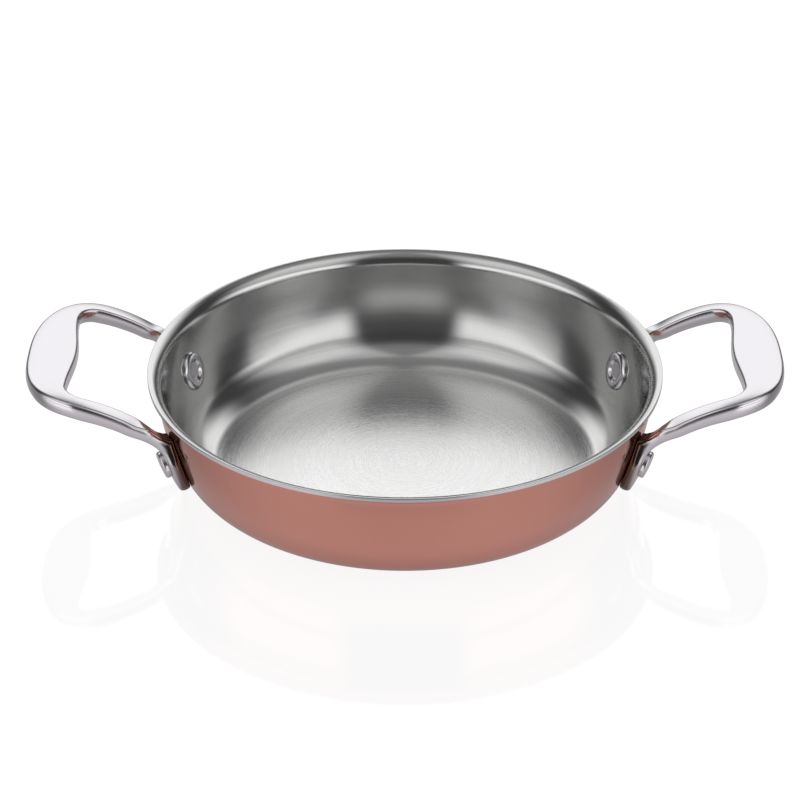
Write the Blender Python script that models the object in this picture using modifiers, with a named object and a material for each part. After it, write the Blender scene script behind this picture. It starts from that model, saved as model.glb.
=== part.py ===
"""Round serving pan with two loop handles, 20 cm across the rim.

The pan is one clad sheet: a copper shell outside, an aluminium core and a
stainless steel liner inside, drawn together and ground flush at the flared rim.
Each cast steel handle stands on two feet, and a solid rivet holds each foot
through the wall. Metres, +Z up, +X through the right handle, and the origin
on the table under the middle of the pan.
"""
import math

import bmesh
import bpy
from mathutils import Matrix, Vector

# Pan, driving dimensions
RIM_RADIUS = 0.1000
PAN_HEIGHT = 0.0454
BASE_RADIUS = 0.0728
HEEL_RADIUS = 0.0185
LIP_BEND_RADIUS = 0.0020
LIP_ANGLE = math.radians(80.0)

# Clad sheet, from the outside in
COPPER_THICKNESS = 0.0004
CORE_THICKNESS = 0.0005
LINER_THICKNESS = 0.0004
PLY_GAP = 0.0003

# Handle bar and grip
FINGER_ROOM = 0.0270
GRIP_WIDTH = 0.0195
GRIP_BULGE = 0.0019
OPENING_WIDTH = 0.0696
BAR_WIDTH = 0.0079
INNER_CORNER_RADIUS = 0.0080
OUTER_CORNER_POWER = 2.55
LEG_BOW_REACH = 0.0150
LEG_BOW = 0.0014
HANDLE_RISE = 0.0071
OUTER_EDGE_DROP = 0.0005
GRIP_DEPTH = 0.0066
LEG_DEPTH = 0.0054
BAR_TOP_RADIUS = 0.0008
BAR_UNDER_RADIUS = 0.0026

# Handle foot, the tongue that lies against the wall
FOOT_WIDTH = 0.0140
FOOT_THICKNESS = 0.0045
FOOT_BELOW_RIVET = 0.0132
FOOT_ABOVE_RIVET = 0.0104
FOOT_EDGE_RADIUS = 0.0016
FOOT_BACK_RADIUS = 0.0011
FOOT_CLEARANCE = 0.0003
NOSE_RISE = 0.0009
NOSE_REACH = 0.0012
SADDLE_REACH = 0.0053
SADDLE_DIP = 0.0014
CREASE_REACH = 0.0063
CREASE_DROP = 0.0057
CREASE_WIDTH = 0.0048
HOLLOW_FULLNESS = 0.45

# Rivets
RIVET_DROP = 0.0222
SHANK_RADIUS = 0.0030
HOLE_CLEARANCE = 0.0003
OUTER_HEAD_RADIUS = 0.0053
OUTER_HEAD_HEIGHT = 0.0020
OUTER_HEAD_TUCK = 0.0023
INNER_HEAD_RADIUS = 0.0079
INNER_HEAD_RIM = 0.0011
INNER_HEAD_HEIGHT = 0.0019
INNER_HEAD_FLAT = 0.0036
HEAD_EDGE_RADIUS = 0.0006
SEAT_CLEARANCE = 0.0003

# Facets
PAN_STEPS = 60
HEEL_STEPS = 5
LIP_STEPS = 3
RIVET_STEPS = 20
TONGUE_STEPS = 4
TURN_STEPS = 9
LEG_STEPS = 3
CORNER_STEPS = 6
GRIP_STEPS = 4
TOP_EDGE_STEPS = 2
UNDER_EDGE_STEPS = 3
TONGUE_TIP_ANGLE = math.radians(16.0)
LEG_START_SHARE = 0.25
TOP_RADIUS_LIMIT = 0.3
UNDER_RADIUS_LIMIT = 0.45
PAN_SMOOTH_ANGLE = math.radians(40.0)
HANDLE_SMOOTH_ANGLE = math.radians(38.0)
CUTTER_MARGIN = 0.0015
WELD = 0.00001

# Sizes that follow from the ones above
WALL = COPPER_THICKNESS + CORE_THICKNESS + LINER_THICKNESS + 2.0 * PLY_GAP
LIP_UNDERSIDE = PAN_HEIGHT - WALL / math.sin(LIP_ANGLE)
HEEL_CENTRE = (BASE_RADIUS, HEEL_RADIUS)
LIP_CENTRE = (
    RIM_RADIUS + LIP_BEND_RADIUS * math.cos(LIP_ANGLE),
    LIP_UNDERSIDE - LIP_BEND_RADIUS * math.sin(LIP_ANGLE),
)
RIVET_HEIGHT = PAN_HEIGHT - RIVET_DROP
LEG_INNER_Y = OPENING_WIDTH / 2.0
LEG_OUTER_Y = LEG_INNER_Y + BAR_WIDTH
GRIP_INNER_X = RIM_RADIUS + FINGER_ROOM
GRIP_OUTER_X = GRIP_INNER_X + GRIP_WIDTH
GRIP_MIDDLE_X = (GRIP_INNER_X + GRIP_OUTER_X) / 2.0
CORNER_CENTRE = (
    GRIP_INNER_X + GRIP_BULGE - INNER_CORNER_RADIUS,
    LEG_INNER_Y - INNER_CORNER_RADIUS,
)
BOW_X = RIM_RADIUS + LEG_BOW_REACH
NECK_ABOVE_RIVET = OUTER_HEAD_RADIUS - OUTER_HEAD_TUCK
HANDLE_TOP = PAN_HEIGHT + HANDLE_RISE
CREASE_RADIUS = RIM_RADIUS + CREASE_REACH
CREASE_HEIGHT = PAN_HEIGHT - CREASE_DROP
FOOT_AZIMUTH = math.asin((LEG_INNER_Y + LEG_OUTER_Y) / 2.0 / CREASE_RADIUS)
CREASE_X = CREASE_RADIUS * math.cos(FOOT_AZIMUTH)
ARCH = (HANDLE_TOP - CREASE_HEIGHT) / (GRIP_MIDDLE_X - CREASE_X) ** 2


def wall_flare():
    """Angle from vertical of the straight wall, tangent to the heel and lip bends."""
    across = LIP_CENTRE[0] - HEEL_CENTRE[0]
    up = LIP_CENTRE[1] - HEEL_CENTRE[1]
    between = math.hypot(across, up)
    return math.acos((HEEL_RADIUS + LIP_BEND_RADIUS) / between) - math.atan2(up, across)


FLARE = wall_flare()
WALL_UP = Vector((math.sin(FLARE), 0.0, math.cos(FLARE)))
WALL_OUT = Vector((math.cos(FLARE), 0.0, -math.sin(FLARE)))


def wall_radius(height):
    """Outside radius of the pan at a height, on the heel bend or the straight wall."""
    straight_foot = HEEL_RADIUS * (1.0 - math.sin(FLARE))
    if height < straight_foot:
        rise = min(HEEL_RADIUS - height, HEEL_RADIUS)
        return BASE_RADIUS + math.sqrt(HEEL_RADIUS ** 2 - rise ** 2)
    foot_radius = BASE_RADIUS + HEEL_RADIUS * math.cos(FLARE)
    return foot_radius + (height - straight_foot) * math.tan(FLARE)


RIVET_RADIUS = wall_radius(RIVET_HEIGHT)


def arc(centre, radius, start, end, steps):
    """Points centre + radius * (cos, -sin) as the wall angle goes from start to end."""
    points = []
    for step in range(steps + 1):
        angle = start + (end - start) * step / steps
        points.append((centre[0] + radius * math.cos(angle), centre[1] - radius * math.sin(angle)))
    return points


def sheet_surface(depth):
    """Pan outline pushed into the sheet by depth, from the middle out to the rim."""
    heel = arc(HEEL_CENTRE, HEEL_RADIUS - depth, math.pi / 2.0, FLARE, HEEL_STEPS)
    lip_radius = -(LIP_BEND_RADIUS + depth)
    lip = arc(LIP_CENTRE, lip_radius, FLARE, LIP_ANGLE, LIP_STEPS)
    edge = (RIM_RADIUS, LIP_UNDERSIDE + depth / math.sin(LIP_ANGLE))
    if edge[0] - lip[-1][0] < WELD * 2.0:
        lip.pop()
    return [(0.0, depth)] + heel + lip + [edge]


def material(name, colour, roughness):
    """Principled metal finish."""
    finish = bpy.data.materials.new(name)
    finish.use_nodes = True
    shader = finish.node_tree.nodes["Principled BSDF"]
    shader.inputs["Base Color"].default_value = (*colour, 1.0)
    shader.inputs["Metallic"].default_value = 1.0
    shader.inputs["Roughness"].default_value = roughness
    return finish


def add_object(name, mesh, collection, finish=None):
    """Link a mesh into a collection under a name."""
    item = bpy.data.objects.new(name, mesh)
    collection.objects.link(item)
    if finish and not mesh.materials:
        mesh.materials.append(finish)
    return item


def turned_mesh(name, profile, steps):
    """Mesh turned about Z by a Screw modifier, smooth except at real edges."""
    outline = bpy.data.meshes.new(name + "_profile")
    points = [(radius, 0.0, height) for radius, height in profile]
    outline.from_pydata(points, [(i, i + 1) for i in range(len(points) - 1)], [])
    turning = bpy.data.objects.new(name + "_profile", outline)
    bpy.context.scene.collection.objects.link(turning)
    screw = turning.modifiers.new("turn", "SCREW")
    screw.axis = "Z"
    screw.angle = math.tau
    screw.steps = steps
    screw.render_steps = steps
    screw.use_merge_vertices = True
    screw.merge_threshold = WELD
    depsgraph = bpy.context.evaluated_depsgraph_get()
    mesh = bpy.data.meshes.new_from_object(turning.evaluated_get(depsgraph))
    mesh.name = name
    bpy.data.objects.remove(turning)
    bpy.data.meshes.remove(outline)
    mesh.shade_smooth()
    mesh.set_sharp_from_angle(angle=PAN_SMOOTH_ANGLE)
    return mesh


def cut_rivet_holes(item, cutters):
    """Drill an object with every rivet hole cutter."""
    drill = item.modifiers.new("rivet_holes", "BOOLEAN")
    drill.operation = "DIFFERENCE"
    drill.solver = "EXACT"
    drill.operand_type = "COLLECTION"
    drill.collection = cutters


def ply(name, depth, thickness, finish, parts, cutters):
    """One layer of the clad sheet, its edge ground vertical at the rim."""
    inside = sheet_surface(depth + thickness)
    outside = sheet_surface(depth)
    mesh = turned_mesh(name, inside + outside[::-1], PAN_STEPS)
    layer = add_object(name, mesh, parts, finish)
    cut_rivet_holes(layer, cutters)
    return layer


def arch_height(x):
    """Top of the handle at x: an arch that crests at the middle of the grip."""
    return HANDLE_TOP - ARCH * (GRIP_MIDDLE_X - x) ** 2


def arch_slope(x):
    """Angle of the arch from level at x."""
    return math.atan(2.0 * ARCH * (GRIP_MIDDLE_X - x))


def on_wall(up, out, across):
    """Point of the foot: up the wall from the rivet, out from it and round it."""
    height = RIVET_HEIGHT + up * WALL_UP.z
    radius = wall_radius(height)
    azimuth = FOOT_AZIMUTH + across / radius
    reach = radius + out * WALL_OUT.x
    return Vector((reach * math.cos(azimuth), reach * math.sin(azimuth), height + out * WALL_OUT.z))


def wall_coordinates(reach, height):
    """Up-the-wall and out-of-the-wall distances of a point beside the rivet."""
    offset = Vector((reach - RIVET_RADIUS, 0.0, height - RIVET_HEIGHT))
    return offset.dot(WALL_UP), offset.dot(WALL_OUT)


def mix(start, end, share):
    """Straight blend of two numbers."""
    return start + (end - start) * share


def ease(share):
    """Smooth step from 0 to 1."""
    return share * share * (3.0 - 2.0 * share)


def section_outline(width, depth, top_radius, under_radius):
    """Rounded box section as shares of its width and depth, once round.

    It starts in the middle of the flat top, runs to the outer side, under and
    back up the inner side, with small top corners and large ones underneath.
    """
    top = min(top_radius, TOP_RADIUS_LIMIT * min(width, depth))
    under = min(under_radius, UNDER_RADIUS_LIMIT * min(width, depth))
    points = [(0.5, 0.0)]
    for step in range(TOP_EDGE_STEPS + 1):
        turn = math.pi / 2.0 * (1.0 - step / TOP_EDGE_STEPS)
        across = 1.0 - top * (1.0 - math.cos(turn)) / width
        points.append((across, top * (1.0 - math.sin(turn)) / depth))
    for step in range(UNDER_EDGE_STEPS + 1):
        turn = math.pi / 2.0 * step / UNDER_EDGE_STEPS
        across = 1.0 - under * (1.0 - math.cos(turn)) / width
        points.append((across, 1.0 - under * (1.0 - math.sin(turn)) / depth))
    return points + [(1.0 - across, down) for across, down in reversed(points[1:])]


def foot_section(inner, outer, half_width, under_radius, top_radius):
    """Ring of points across the foot, from its wall side to its outer side.

    inner and outer are (up, out) places in the plane of the rivet.
    """
    depth = math.hypot(outer[0] - inner[0], outer[1] - inner[1])
    ring = []
    for across, down in section_outline(2.0 * half_width, depth, top_radius, under_radius):
        up = mix(inner[0], outer[0], down)
        out = mix(inner[1], outer[1], down)
        ring.append(on_wall(up, out, mix(-half_width, half_width, across)))
    return ring


def bar_section(inner, outer, tilt, depth):
    """Ring of points across the bar, between its inner and outer top edges."""
    width = math.hypot(outer[0] - inner[0], outer[1] - inner[1])
    ring = []
    for across, down in section_outline(width, depth, BAR_TOP_RADIUS, BAR_UNDER_RADIUS):
        x = mix(inner[0], outer[0], across)
        y = mix(inner[1], outer[1], across)
        z = arch_height(x) - OUTER_EDGE_DROP * across
        ring.append(Vector((
            x + down * depth * math.sin(tilt),
            y,
            z - down * depth * math.cos(tilt),
        )))
    return ring


def tongue_sections():
    """Rounded lower end of the foot, up to the neck."""
    half = FOOT_WIDTH / 2.0
    round_centre = half - FOOT_BELOW_RIVET
    rings = []
    for step in range(TONGUE_STEPS + 1):
        turn = mix(TONGUE_TIP_ANGLE, math.pi / 2.0, step / TONGUE_STEPS)
        up = round_centre - half * math.cos(turn)
        end_distance = half * (1.0 - math.cos(turn))
        short = max(0.0, FOOT_EDGE_RADIUS - end_distance)
        edge_loss = FOOT_EDGE_RADIUS - math.sqrt(FOOT_EDGE_RADIUS ** 2 - short ** 2)
        inner = (up, FOOT_CLEARANCE)
        outer = (up, FOOT_THICKNESS - edge_loss)
        half_width = half * math.sin(turn)
        rings.append(foot_section(inner, outer, half_width, FOOT_EDGE_RADIUS, FOOT_BACK_RADIUS))
    return rings


def foot_top_path(share):
    """Wall side of the foot: up the wall, over the nose, across the saddle to the crease."""
    crease = wall_coordinates(CREASE_RADIUS, CREASE_HEIGHT)
    nose = (FOOT_ABOVE_RIVET + NOSE_RISE, NOSE_REACH)
    saddle_share = (SADDLE_REACH - nose[1]) / (crease[1] - nose[1])
    saddle = (mix(nose[0], crease[0], saddle_share) - SADDLE_DIP, SADDLE_REACH)
    wall_start = (NECK_ABOVE_RIVET, FOOT_CLEARANCE)
    path = [wall_start, (FOOT_ABOVE_RIVET, FOOT_CLEARANCE), nose, saddle, crease]
    lengths = [math.dist(start, end) for start, end in zip(path, path[1:])]
    travel = share * sum(lengths)
    for start, end, length in zip(path, path[1:], lengths):
        if travel <= length + WELD:
            part = min(travel / length, 1.0)
            return mix(start[0], end[0], part), mix(start[1], end[1], part)
        travel -= length
    return crease


def turn_sections():
    """Foot from the neck to the crease, round the hollow under the leg."""
    slope = arch_slope(CREASE_X)
    under_reach = CREASE_RADIUS + LEG_DEPTH * math.sin(slope)
    under = wall_coordinates(under_reach, CREASE_HEIGHT - LEG_DEPTH * math.cos(slope))
    start = (NECK_ABOVE_RIVET, FOOT_THICKNESS)
    bend = (mix(NECK_ABOVE_RIVET, under[0], HOLLOW_FULLNESS), FOOT_THICKNESS)
    rings = []
    for step in range(TURN_STEPS + 1):
        share = step / TURN_STEPS
        back = 1.0 - share
        outer = tuple(
            back * back * start[i] + 2.0 * back * share * bend[i] + share * share * under[i]
            for i in range(2))
        half_width = mix(FOOT_WIDTH, CREASE_WIDTH, ease(share)) / 2.0
        under_radius = mix(FOOT_EDGE_RADIUS, BAR_UNDER_RADIUS, share)
        top_radius = mix(FOOT_BACK_RADIUS, BAR_TOP_RADIUS, share)
        rings.append(foot_section(foot_top_path(share), outer, half_width, under_radius, top_radius))
    return rings


def outer_edge_y(x):
    """Outer edge of a leg at x: bowed in by LEG_BOW at the crease."""
    if x > BOW_X:
        share = (x - BOW_X) / (GRIP_OUTER_X - BOW_X)
        return LEG_OUTER_Y * (1.0 - share ** OUTER_CORNER_POWER) ** (1.0 / OUTER_CORNER_POWER)
    return LEG_OUTER_Y - LEG_BOW * ((BOW_X - x) / (BOW_X - CREASE_X)) ** 2


def outer_corner(angle):
    """Where a ray from the inner corner's centre meets the outer edge.

    The edge is a superellipse, found along the ray by halving.
    """
    near, far = 0.0, GRIP_OUTER_X
    for _ in range(50):
        reach = (near + far) / 2.0
        x = CORNER_CENTRE[0] + reach * math.cos(angle)
        y = CORNER_CENTRE[1] + reach * math.sin(angle)
        along = max(0.0, x - BOW_X) / (GRIP_OUTER_X - BOW_X)
        inside = along ** OUTER_CORNER_POWER + (y / LEG_OUTER_Y) ** OUTER_CORNER_POWER < 1.0
        near, far = (reach, far) if inside else (near, reach)
    return CORNER_CENTRE[0] + near * math.cos(angle), CORNER_CENTRE[1] + near * math.sin(angle)


def outer_edge_x(y):
    """Outer edge of the grip at y, on the same superellipse."""
    share = (1.0 - (y / LEG_OUTER_Y) ** OUTER_CORNER_POWER) ** (1.0 / OUTER_CORNER_POWER)
    return BOW_X + (GRIP_OUTER_X - BOW_X) * share


def leg_sections():
    """Leg from behind the crease to the corner, cut square to X."""
    start = mix(CREASE_X, CORNER_CENTRE[0], LEG_START_SHARE)
    rings = []
    for step in range(LEG_STEPS + 1):
        x = mix(start, CORNER_CENTRE[0], step / (LEG_STEPS + 1))
        depth = mix(LEG_DEPTH, GRIP_DEPTH, (x - CREASE_X) / (CORNER_CENTRE[0] - CREASE_X))
        inner = (x, LEG_INNER_Y)
        rings.append(bar_section(inner, (x, outer_edge_y(x)), arch_slope(x), depth))
    return rings


def corner_sections():
    """Corner, where the sections fan about the centre of the inner bend."""
    rings = []
    for step in range(CORNER_STEPS + 1):
        angle = math.pi / 2.0 * (1.0 - step / CORNER_STEPS)
        inner = (
            CORNER_CENTRE[0] + INNER_CORNER_RADIUS * math.cos(angle),
            CORNER_CENTRE[1] + INNER_CORNER_RADIUS * math.sin(angle),
        )
        tilt = arch_slope(CORNER_CENTRE[0]) * math.sin(angle)
        rings.append(bar_section(inner, outer_corner(angle), tilt, GRIP_DEPTH))
    return rings


def grip_sections():
    """Grip from the corner to the middle, its inner edge swelling towards the pan."""
    rings = []
    for step in range(1, GRIP_STEPS + 1):
        y = CORNER_CENTRE[1] * (1.0 - step / GRIP_STEPS)
        bulge = GRIP_BULGE * math.sin(math.pi / 2.0 * y / CORNER_CENTRE[1]) ** 2
        rings.append(bar_section((GRIP_INNER_X + bulge, y), (outer_edge_x(y), y), 0.0, GRIP_DEPTH))
    return rings


def handle_mesh():
    """Half handle on the +Y side, lofted through its sections and open at Y = 0."""
    rings = tongue_sections() + turn_sections() + leg_sections() + corner_sections() + grip_sections()
    build = bmesh.new()
    loops = [[build.verts.new(point) for point in ring] for ring in rings]
    count = len(loops[0])
    for low, high in zip(loops, loops[1:]):
        for i in range(count):
            j = (i + 1) % count
            build.faces.new((low[i], low[j], high[j], high[i]))
    build.faces.new(loops[0][::-1])
    mesh = bpy.data.meshes.new("handle")
    build.to_mesh(mesh)
    build.free()
    mesh.shade_smooth()
    mesh.set_sharp_from_angle(angle=HANDLE_SMOOTH_ANGLE)
    return mesh


def handle(name, mesh, turn, finish, parts, cutters):
    """One handle: the lofted half, mirrored and drilled."""
    item = add_object(name, mesh, parts, finish)
    item.rotation_euler = (0.0, 0.0, turn)
    mirror = item.modifiers.new("other_leg", "MIRROR")
    mirror.use_axis = (False, True, False)
    mirror.merge_threshold = WELD
    cut_rivet_holes(item, cutters)
    return item


def rivet_profile():
    """Rivet outline from the inner dome down the shank to the outer button.

    Height 0 is the outside of the wall, and +Z points into the pan.
    """
    inner_wall_radius = RIVET_RADIUS - WALL
    facet_rise = inner_wall_radius * (1.0 - math.cos(math.pi / PAN_STEPS))
    curve_rise = inner_wall_radius - math.sqrt(inner_wall_radius ** 2 - INNER_HEAD_RADIUS ** 2)
    seat = WALL + SEAT_CLEARANCE + curve_rise + facet_rise
    button_seat = -(FOOT_THICKNESS + SEAT_CLEARANCE)
    button_face = button_seat - OUTER_HEAD_HEIGHT
    edge = HEAD_EDGE_RADIUS
    corner = edge * (1.0 - math.sqrt(0.5))
    slope_start = mix(INNER_HEAD_FLAT, INNER_HEAD_RADIUS - edge, 0.5)
    slope_rise = mix(INNER_HEAD_RIM, INNER_HEAD_HEIGHT, 0.6)
    return [
        (0.0, seat + INNER_HEAD_HEIGHT),
        (INNER_HEAD_FLAT, seat + INNER_HEAD_HEIGHT),
        (slope_start, seat + slope_rise),
        (INNER_HEAD_RADIUS - edge, seat + INNER_HEAD_RIM),
        (INNER_HEAD_RADIUS - corner, seat + INNER_HEAD_RIM - corner),
        (INNER_HEAD_RADIUS, seat + INNER_HEAD_RIM - edge),
        (INNER_HEAD_RADIUS, seat),
        (SHANK_RADIUS, seat),
        (SHANK_RADIUS, button_seat),
        (OUTER_HEAD_RADIUS, button_seat),
        (OUTER_HEAD_RADIUS, button_face + edge),
        (OUTER_HEAD_RADIUS - corner, button_face + corner),
        (OUTER_HEAD_RADIUS - edge, button_face),
        (0.0, button_face),
    ]


def rivet_placement(azimuth):
    """Frame on the outside of the wall, with +Z along the inward wall normal."""
    turn = Matrix.Rotation(azimuth, 4, "Z")
    place = Matrix.Translation(Vector((RIVET_RADIUS, 0.0, RIVET_HEIGHT)))
    inward = Matrix.Rotation(-math.pi / 2.0 + FLARE, 4, "Y")
    return turn @ place @ inward


def hole_cutter(name, placement, cutters):
    """Plain cylinder that drills one rivet hole through the wall and the foot."""
    length = WALL + FOOT_THICKNESS + 2.0 * CUTTER_MARGIN
    build = bmesh.new()
    bmesh.ops.create_cone(
        build, cap_ends=True, segments=RIVET_STEPS, depth=length,
        radius1=SHANK_RADIUS + HOLE_CLEARANCE, radius2=SHANK_RADIUS + HOLE_CLEARANCE)
    mesh = bpy.data.meshes.new(name)
    build.to_mesh(mesh)
    build.free()
    cutter = add_object(name, mesh, cutters)
    middle = (WALL - FOOT_THICKNESS) / 2.0
    cutter.matrix_world = placement @ Matrix.Translation(Vector((0.0, 0.0, middle)))
    cutter.hide_render = True
    cutter.display_type = "WIRE"


def build_pan():
    """The whole serving pan."""
    for old in list(bpy.data.objects):
        bpy.data.objects.remove(old)
    parts = bpy.data.collections.new("serving_pan")
    cutters = bpy.data.collections.new("rivet_hole_cutters")
    bpy.context.scene.collection.children.link(parts)
    bpy.context.scene.collection.children.link(cutters)

    steel = material("brushed_stainless_steel", (0.62, 0.62, 0.61), 0.28)
    aluminium = material("aluminium_core", (0.80, 0.81, 0.82), 0.35)
    copper = material("satin_copper", (0.60, 0.27, 0.20), 0.30)
    cast = material("polished_cast_steel", (0.70, 0.69, 0.71), 0.12)
    rivet_steel = material("rivet_steel", (0.60, 0.60, 0.62), 0.20)

    azimuths = {
        "right_back": FOOT_AZIMUTH,
        "left_back": math.pi - FOOT_AZIMUTH,
        "left_front": math.pi + FOOT_AZIMUTH,
        "right_front": -FOOT_AZIMUTH,
    }
    rivet_mesh = turned_mesh("rivet", rivet_profile(), RIVET_STEPS)
    for place, azimuth in azimuths.items():
        frame = rivet_placement(azimuth)
        hole_cutter("hole_" + place, frame, cutters)
        rivet = add_object("rivet_" + place, rivet_mesh, parts, rivet_steel)
        rivet.matrix_world = frame

    core_depth = COPPER_THICKNESS + PLY_GAP
    liner_depth = core_depth + CORE_THICKNESS + PLY_GAP
    ply("copper_shell", 0.0, COPPER_THICKNESS, copper, parts, cutters)
    ply("aluminium_core", core_depth, CORE_THICKNESS, aluminium, parts, cutters)
    ply("steel_liner", liner_depth, LINER_THICKNESS, steel, parts, cutters)

    loft = handle_mesh()
    handle("handle_right", loft, 0.0, cast, parts, cutters)
    handle("handle_left", loft, math.pi, cast, parts, cutters)


build_pan()
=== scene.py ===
"""Looks of the round serving pan: brushed steel inside, satin copper outside,
the plies showing in the ground rim, and polished cast handles on solid rivets.

Lengths are in metres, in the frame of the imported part: +Z up, +X through the
right handle, and the origin on the table under the middle of the pan.
"""
import math

import bpy
import numpy as np
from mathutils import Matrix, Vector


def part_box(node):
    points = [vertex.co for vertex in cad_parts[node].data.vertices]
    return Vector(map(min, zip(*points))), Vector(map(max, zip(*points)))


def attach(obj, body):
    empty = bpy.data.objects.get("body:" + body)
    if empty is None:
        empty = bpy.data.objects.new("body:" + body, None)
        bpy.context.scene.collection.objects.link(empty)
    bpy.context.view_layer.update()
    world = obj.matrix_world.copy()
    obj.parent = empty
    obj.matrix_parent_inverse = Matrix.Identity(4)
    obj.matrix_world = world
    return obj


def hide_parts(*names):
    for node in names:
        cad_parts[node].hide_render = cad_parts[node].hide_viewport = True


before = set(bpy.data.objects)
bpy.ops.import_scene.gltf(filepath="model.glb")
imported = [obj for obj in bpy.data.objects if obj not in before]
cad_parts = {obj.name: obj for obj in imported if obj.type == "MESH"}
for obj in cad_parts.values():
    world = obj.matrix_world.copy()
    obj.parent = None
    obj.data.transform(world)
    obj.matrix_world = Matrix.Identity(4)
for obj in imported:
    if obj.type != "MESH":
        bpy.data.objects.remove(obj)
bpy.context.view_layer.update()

# Sizes read from the frame
RIM_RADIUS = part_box("steel_liner")[1].x
PAN_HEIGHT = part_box("steel_liner")[1].z
GRIP_OUTER_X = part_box("handle_right")[1].x

# Clad sheet. A pair of lengths says how far a rounded corner reaches along its two sides.
BASE_RADIUS = 0.0718
HEEL_RADIUS = 0.0195
WALL_BEND_RADIUS = 0.078
LIP_BEND_RADIUS = 0.0041
LIP_ANGLE = math.radians(80.0)
SHEET_THICKNESS = 0.0019
COPPER_THICKNESS = 0.00032
LINER_THICKNESS = 0.00050
RIM_BEVEL = (0.0018, 0.00046)
PLY_GROOVE = (0.00004, 0.00004)
COPPER_EDGE = (0.00026, 0.00026)

# Handle bar and grip. A side roll is the flank's lean at its top and at its bottom.
GRIP_WIDTH = 0.0195
GRIP_BULGE = 0.0019
LEG_INNER_Y = 0.0348
BAR_WIDTH = 0.0079
INNER_CORNER_RADIUS = 0.0080
OUTER_CORNER_POWER = 2.55
LEG_BOW_REACH = 0.0150
LEG_BOW = 0.0004
HANDLE_RISE = 0.00705
OUTER_EDGE_DROP = 0.0005
GRIP_DEPTH = 0.0066
LEG_DEPTH = 0.0054
BAR_TOP_RADIUS = 0.0012
BAR_UNDER_RADIUS = 0.0022
BAR_SIDE_ROLL = (math.radians(15.0), math.radians(16.0))
TOP_CROWN = 0.00020

# The most of a section's narrower side that one rounded edge may take
TOP_RADIUS_SHARE = 0.30
UNDER_RADIUS_SHARE = 0.45

# Handle foot
FOOT_OFFSET_Y = 0.03676
FOOT_WIDTH = 0.0140
FOOT_THICKNESS = 0.0045
FOOT_BELOW_RIVET = 0.0132
FOOT_ABOVE_RIVET = 0.0104
FOOT_EDGE_RADIUS = 0.0018
FOOT_BACK_RADIUS = 0.0010
FOOT_SIDE_ROLL = (math.radians(28.0), math.radians(20.0))
FOOT_CLEARANCE = 0.0001
TONGUE_BACK_ROLL = 0.5
NOSE_RISE = 0.0004
NOSE_REACH = 0.0012
SADDLE_REACH = 0.0044
SADDLE_DIP = 0.0008
CREASE_REACH = 0.0040
CREASE_DROP = 0.0067
CREASE_WIDTH = 0.0056
HOLLOW_FULLNESS = 0.45
SHOULDER_POWER = 0.6
NECK_ABOVE_RIVET = 0.0030

# Rivets. The dish and the crest of the inner head are shares of its radius.
RIVET_DROP = 0.0222
SHANK_RADIUS = 0.0030
HEAD_PRESS = 0.0001
OUTER_HEAD_RADIUS = 0.0053
OUTER_HEAD_HEIGHT = 0.0021
OUTER_HEAD_EDGE = 0.00065
OUTER_HEAD_CROWN = 0.00006
OUTER_SEAT_INSET = 0.0002
INNER_HEAD_RADIUS = 0.0078
INNER_HEAD_HEIGHT = 0.0017
INNER_DISH_DEPTH = 0.0008
DISH_FLOOR_SHARE = 0.40
DISH_RIM_SHARE = 0.62
CREST_SHARE = 0.66
INNER_SEAT_HEIGHT = 0.00035
INNER_SEAT_INSETS = (0.00005, 0.0003)

# Grid counts
PAN_TURNS = 288
FLOOR_STEPS = 25
HEEL_POINTS = 30
WALL_POINTS = 20
LIP_POINTS = 16
UPPER_CORNER_POINTS = 13
LOWER_CORNER_POINTS = 7
TOP_ARC_POINTS = 8
FLANK_POINTS = 12
UNDER_ARC_POINTS = 9
FLAT_STEPS = 8
TURN_SECTIONS = 13
LEG_SECTIONS = 4
CORNER_SECTIONS = 11
GRIP_SECTIONS = 7
SPAN_STEPS = 8
AROUND_RIVET = 72
HEAD_ARC_POINTS = 8
DISH_POINTS = 9

# Rounds of the two searches that close in on a point
WALL_ROUNDS = 8
HALVINGS = 50

# Single rings: turns round the tongue's half circle, shares of a head's radius on the dish
# floor and on the button's crown, and heights above the foot on the button's side
TONGUE_TURNS = np.radians([3.0, 8.0, 14.0, 21.0, 29.0, 38.0, 48.0, 60.0, 74.0, 90.0])
DISH_FLOOR_RINGS = np.array([0.08, 0.2, 0.32])
BUTTON_SIDE_RINGS = np.array([0.0006, 0.0011])
BUTTON_TOP_RINGS = np.array([0.75, 0.6, 0.45, 0.3, 0.15, 0.05])

# Liner finish. An edge is a pair of distances from the axis, where a change begins and
# where it is complete. Greys are a darker and a lighter tone. Coarse shares, grain depths
# and roughness are given for the wall, then for the disc.
DISC_EDGE = (0.0738, 0.0744)
HEEL_HIGHLIGHT_EDGE = (0.0756, 0.0780)
WALL_GREYS = ((0.60, 0.60, 0.595), (0.64, 0.64, 0.635))
# The disc's greys are painted lighter than the wall's, the same steel brightened to stand in for
# the light on the disc; within each pair the tones differ at random.
PAINTED_BRIGHT_DISC_GREYS = ((0.86, 0.86, 0.855), (0.95, 0.95, 0.945))
# Painted highlight: a lighter grey for a band on the heel round the disc, standing in for the
# heel's bright reflection
PAINTED_HIGHLIGHT_GREY = (0.86, 0.86, 0.85)
FINE_SHARE = 0.6
COARSE_SHARES = (0.12, 0.34)
GRAIN_DEPTHS = (0.25, 0.8)
LINER_ROUGHNESS = (0.16, 0.27)
STREAK_ROUGHNESS = 0.05
LINER_GRAIN_HEIGHT = 0.0000045
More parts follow.
